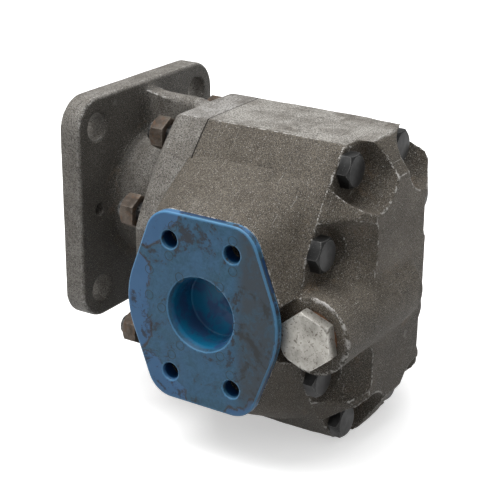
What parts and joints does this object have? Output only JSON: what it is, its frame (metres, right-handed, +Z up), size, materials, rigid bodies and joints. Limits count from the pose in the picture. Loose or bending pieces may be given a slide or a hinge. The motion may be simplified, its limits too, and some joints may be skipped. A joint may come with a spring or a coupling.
{
  "type": "hydraulic gear pump",
  "caption": "External gear pump: square flange cover, cast body with side ports, through bolts, keyed shaft, relief valve and a push-in inlet port cap.",
  "frame": {"origin": "where the drive shaft's axis meets the mounting face of the flange", "axes": "+X along the drive shaft from the mounting face to the rear end of the body, +Y towards the outlet side (the inlet faces -Y), +Z up towards the drive gear's side"},
  "size_m": [0.2148, 0.152, 0.1657],
  "materials": {
    "body_casting": "rough sand-cast, warm grey-brown, worn lighter on its edges",
    "cover_casting": "rough sand-cast, silver grey on the rim and dark blue-grey behind the flange",
    "ground_steel": "ground bright, oily",
    "bearing_bronze": "machined bronze",
    "seal_rubber": "moulded nitrile",
    "spring_steel": "oiled spring steel",
    "black_bolt_steel": "black oxide, edges worn grey",
    "rusty_nut_steel": "brown surface rust",
    "plug_steel": "pale zinc with small pits",
    "copper_washer": "dull tarnished copper",
    "blue_plastic": "moulded sky-blue polythene with dark oily grime"
  },
  "bodies": {
    "pump_casing": {"bolt_nuts": "rusty_nut_steel", "dowel_pins": "ground_steel", "front_drive_bush": "bearing_bronze", "front_driven_bush": "bearing_bronze", "front_pressure_seal": "seal_rubber", "front_thrust_plate": "bearing_bronze", "joint_seal": "seal_rubber", "mounting_cover": "cover_casting", "plug_seal_ring": "copper_washer", "pump_body": "body_casting", "rear_drive_bush": "bearing_bronze", "rear_driven_bush": "bearing_bronze", "rear_pressure_seal": "seal_rubber", "rear_thrust_plate": "bearing_bronze", "relief_spring": "spring_steel", "relief_valve_plug": "plug_steel", "relief_valve_seat": "ground_steel", "seal_retaining_ring": "spring_steel", "shaft_seal": "seal_rubber", "through_bolts": "black_bolt_steel"},
    "drive_rotor": {"drive_gear_shaft": "ground_steel", "shaft_key": "ground_steel"},
    "driven_rotor": {"driven_gear_shaft": "ground_steel"},
    "poppet": {"relief_poppet": "ground_steel"},
    "port_cap": {"inlet_port_cap": "blue_plastic"}
  },
  "joints": [
    {"name": "drive_spin", "type": "hinge", "parent": "pump_casing", "child": "drive_rotor", "pos_m": [0, 0, 0], "axis": [1, 0, 0], "continuous": true},
    {"name": "driven_spin", "type": "hinge", "parent": "pump_casing", "child": "driven_rotor", "pos_m": [0, 0, -0.052], "axis": [1, 0, 0], "continuous": true},
    {"name": "poppet_lift", "type": "slide", "parent": "pump_casing", "child": "poppet", "axis": [0, -1, 0], "range_m": [0, 0.0035], "stiffness_N_per_m": 1500, "springref_m": -0.001, "deforming": ["relief_spring"]},
    {"name": "cap_pull", "type": "slide", "parent": "pump_casing", "child": "port_cap", "axis": [0, -1, 0], "range_m": [0, 0.03]}
  ],
  "couplings": [
    {"joint": "driven_spin", "follows": "drive_spin", "ratio": -1}
  ]
}
